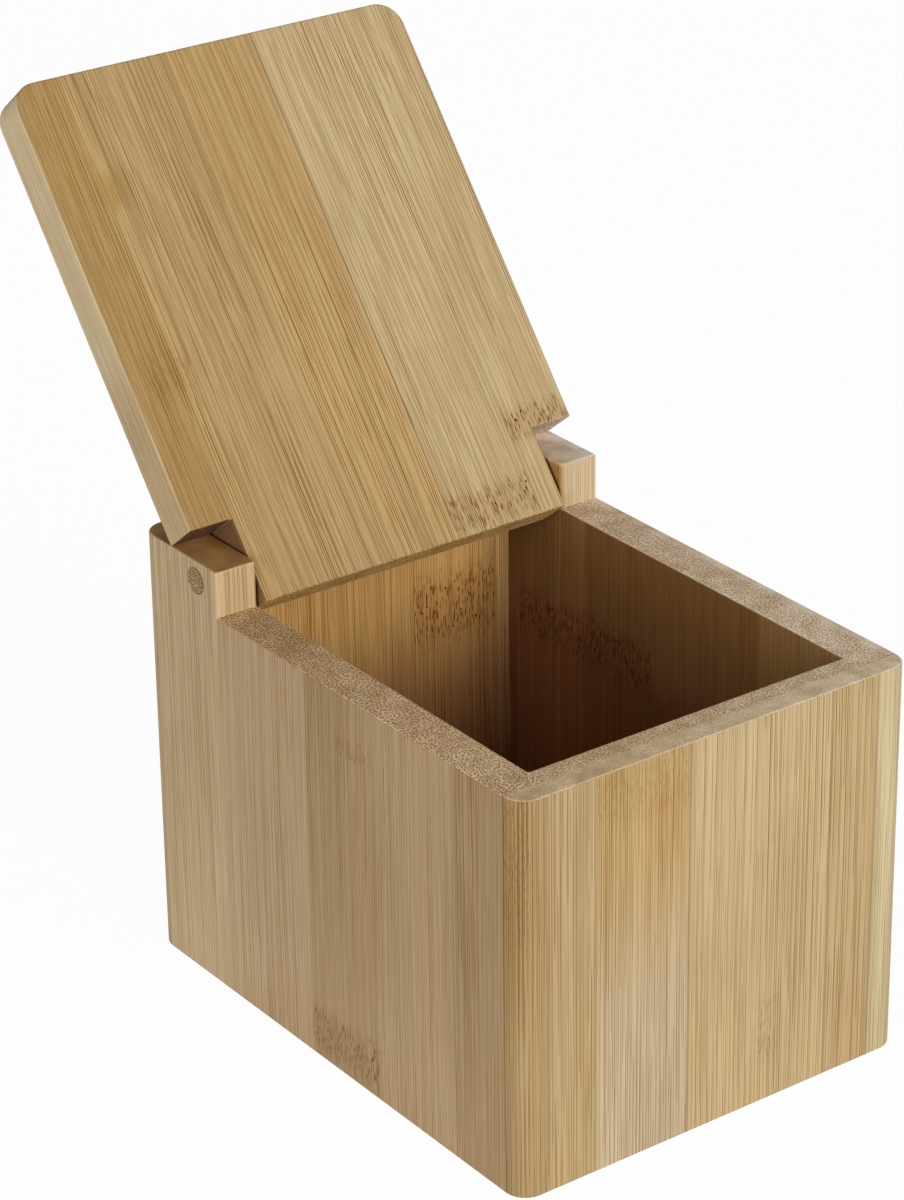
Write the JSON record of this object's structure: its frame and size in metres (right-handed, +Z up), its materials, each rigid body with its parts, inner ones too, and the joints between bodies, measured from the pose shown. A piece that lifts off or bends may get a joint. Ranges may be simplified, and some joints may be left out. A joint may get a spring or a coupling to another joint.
{
  "type": "salt box",
  "caption": "Table-top bamboo salt box: open-topped box of rabbeted boards, closed by a flat board lid whose tongue swings on wooden pins between raised ears at the back.",
  "frame": {"origin": "middle of the flat underside of the box, on the surface that it stands on", "axes": "+X to the right of someone facing the front, +Y towards the hinge at the back, +Z up. The lid is fully open at joint value 0"},
  "size_m": [0.1, 0.1839, 0.1854],
  "materials": {
    "front_bamboo": "natural pressed bamboo, upright grain, thin matt oil",
    "back_bamboo": "natural pressed bamboo, upright grain, thin matt oil",
    "left_bamboo": "natural pressed bamboo, upright grain, thin matt oil",
    "right_bamboo": "natural pressed bamboo, upright grain, thin matt oil",
    "base_bamboo": "natural pressed bamboo, grain front to back, thin matt oil",
    "lid_bamboo": "natural pressed bamboo, grain front to back, thin matt oil",
    "pin_bamboo": "natural bamboo dowel, sanded end grain"
  },
  "bodies": {
    "box": {"front_wall": "front_bamboo", "back_wall": "back_bamboo", "left_wall": "left_bamboo", "right_wall": "right_bamboo", "base_panel": "base_bamboo", "left_hinge_pin": "pin_bamboo", "right_hinge_pin": "pin_bamboo"},
    "lid": {"lid": "lid_bamboo"}
  },
  "joints": [
    {"name": "lid_hinge", "type": "hinge", "parent": "box", "child": "lid", "pos_m": [0, 0.0448, 0.0955], "axis": [1, 0, 0], "range_deg": [0, 128.84]}
  ]
}
